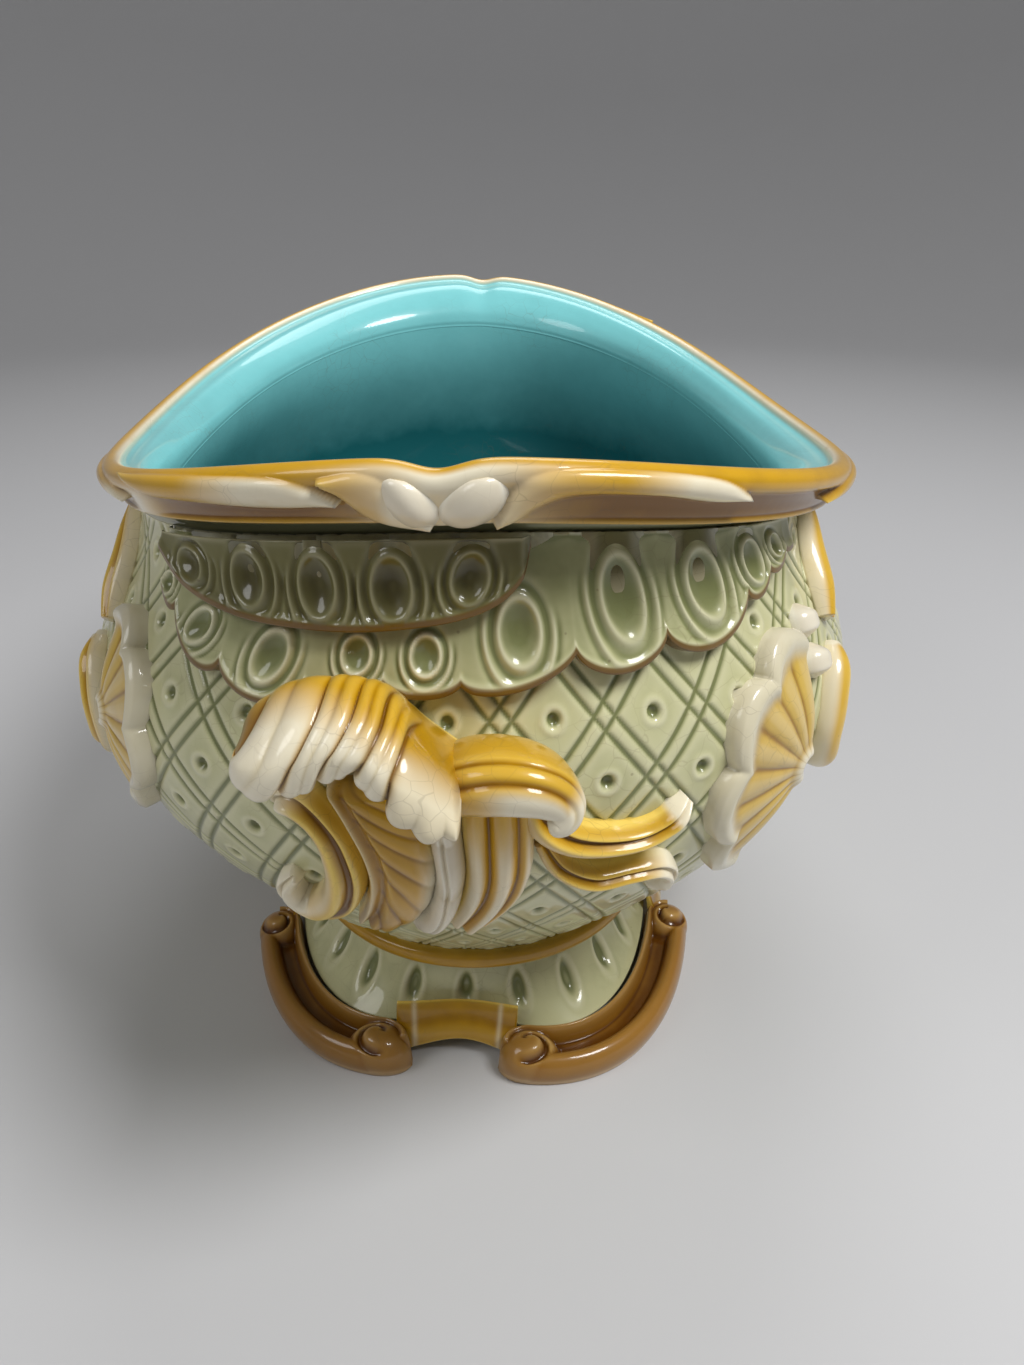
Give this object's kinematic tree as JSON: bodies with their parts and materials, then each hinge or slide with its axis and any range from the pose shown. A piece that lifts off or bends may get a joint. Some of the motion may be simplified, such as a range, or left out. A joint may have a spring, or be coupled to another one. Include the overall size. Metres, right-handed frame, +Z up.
{
  "type": "jardiniere",
  "caption": "Oval glazed earthenware planter with a wavy flaring lip, trellised belly, scalloped collars, leaf and scroll handles and scroll feet",
  "frame": {"origin": "middle of the standing plane, under the middle of the bowl", "axes": "+X to the near end handle along the length, +Y to the right side, +Z up"},
  "size_m": [0.361, 0.2364, 0.1981],
  "materials": {
    "sage_glaze": "glossy translucent glaze over relief",
    "olive_glaze": "glossy translucent glaze over relief",
    "ochre_glaze": "glossy glaze running thin to cream on edges",
    "cream_glaze": "glossy glaze with fine crackle",
    "shell_glaze": "glossy glaze, cream rim and ochre flutes",
    "brown_glaze": "glossy glaze, thin on edges"
  },
  "bodies": {
    "root": {"bowl": "sage_glaze", "far_apron": "ochre_glaze", "far_crest_bud_left": "cream_glaze", "far_crest_bud_right": "cream_glaze", "far_flounce": "sage_glaze", "far_handle_bud": "cream_glaze", "far_handle_drop": "ochre_glaze", "far_handle_hook": "ochre_glaze", "far_handle_leaf": "ochre_glaze", "far_handle_ribs": "ochre_glaze", "far_handle_roll": "ochre_glaze", "far_handle_scroll": "ochre_glaze", "far_handle_tendril": "ochre_glaze", "far_left_foot": "brown_glaze", "far_panel": "olive_glaze", "far_right_foot": "brown_glaze", "left_apron": "ochre_glaze", "left_far_c_scroll": "ochre_glaze", "left_far_lower_pearl": "cream_glaze", "left_far_s_scroll": "ochre_glaze", "left_far_shell": "shell_glaze", "left_far_upper_pearl": "cream_glaze", "left_foot_bud": "brown_glaze", "left_near_c_scroll": "ochre_glaze", "left_near_s_scroll": "ochre_glaze", "left_near_shell": "shell_glaze", "left_palmette": "shell_glaze", "near_apron": "ochre_glaze", "near_crest_bud_left": "cream_glaze", "near_crest_bud_right": "cream_glaze", "near_flounce": "sage_glaze", "near_handle_bud": "cream_glaze", "near_handle_drop": "ochre_glaze", "near_handle_hook": "ochre_glaze", "near_handle_leaf": "ochre_glaze", "near_handle_ribs": "ochre_glaze", "near_handle_roll": "ochre_glaze", "near_handle_scroll": "ochre_glaze", "near_handle_tendril": "ochre_glaze", "near_left_foot": "brown_glaze", "near_panel": "olive_glaze", "near_right_foot": "brown_glaze", "pedestal": "sage_glaze", "right_apron": "ochre_glaze", "right_far_c_scroll": "ochre_glaze", "right_far_s_scroll": "ochre_glaze", "right_far_shell": "shell_glaze", "right_foot_bud": "brown_glaze", "right_near_c_scroll": "ochre_glaze", "right_near_lower_pearl": "cream_glaze", "right_near_s_scroll": "ochre_glaze", "right_near_shell": "shell_glaze", "right_near_upper_pearl": "cream_glaze", "right_palmette": "shell_glaze", "rim_lip": "ochre_glaze", "waist_band": "ochre_glaze"}
  },
  "joints": []
}
